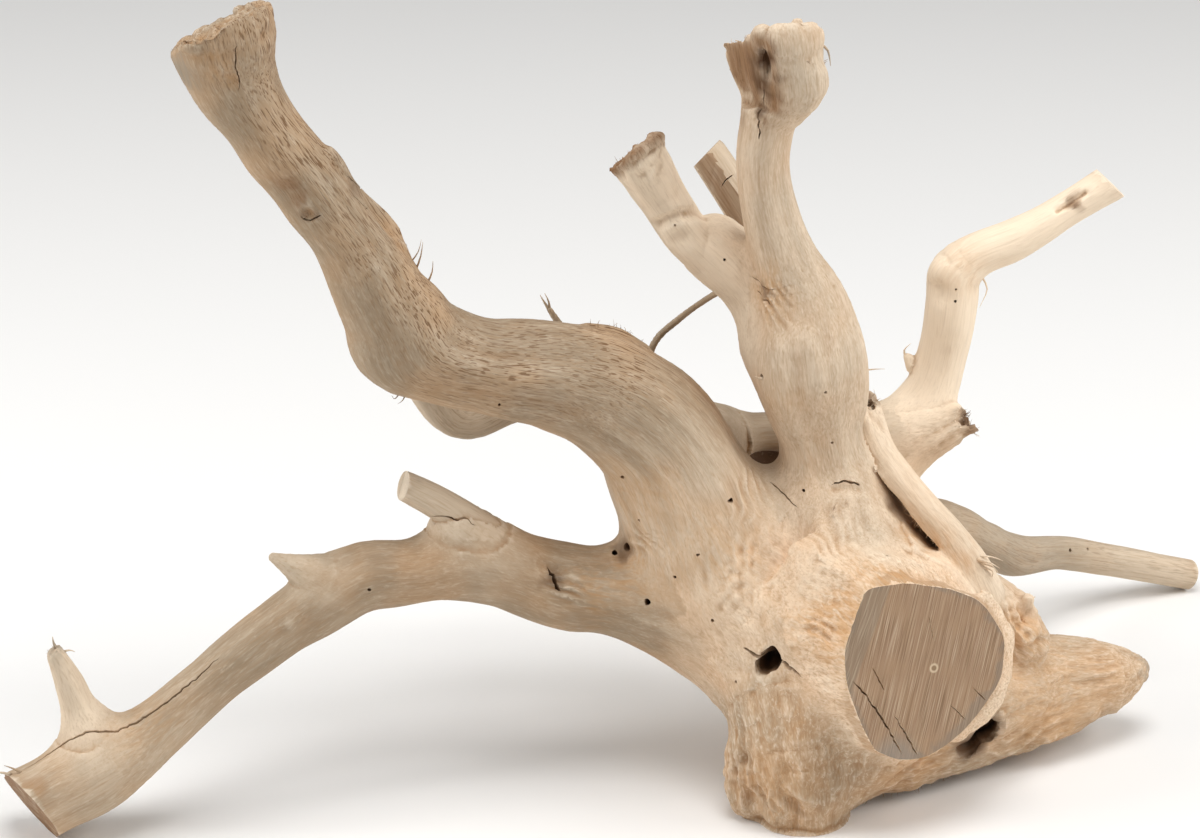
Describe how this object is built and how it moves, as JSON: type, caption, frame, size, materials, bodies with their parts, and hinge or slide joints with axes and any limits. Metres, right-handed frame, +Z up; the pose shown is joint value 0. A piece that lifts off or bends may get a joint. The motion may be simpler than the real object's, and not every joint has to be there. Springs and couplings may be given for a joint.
{
  "type": "piece of driftwood",
  "caption": "Branching piece of bleached driftwood: a sawn root crown with long tapering limbs, standing on its foot and on two of its limb tips.",
  "frame": {"origin": "on the ground, under the middle of the piece's box", "axes": "+X to the right as seen from the side of the sawn face, +Y away from that side, +Z up"},
  "size_m": [0.5172, 0.2659, 0.3438],
  "materials": {
    "bleached_wood": "bark-free, weathered and matte"
  },
  "bodies": {
    "root": {"driftwood": "bleached_wood"}
  },
  "joints": []
}
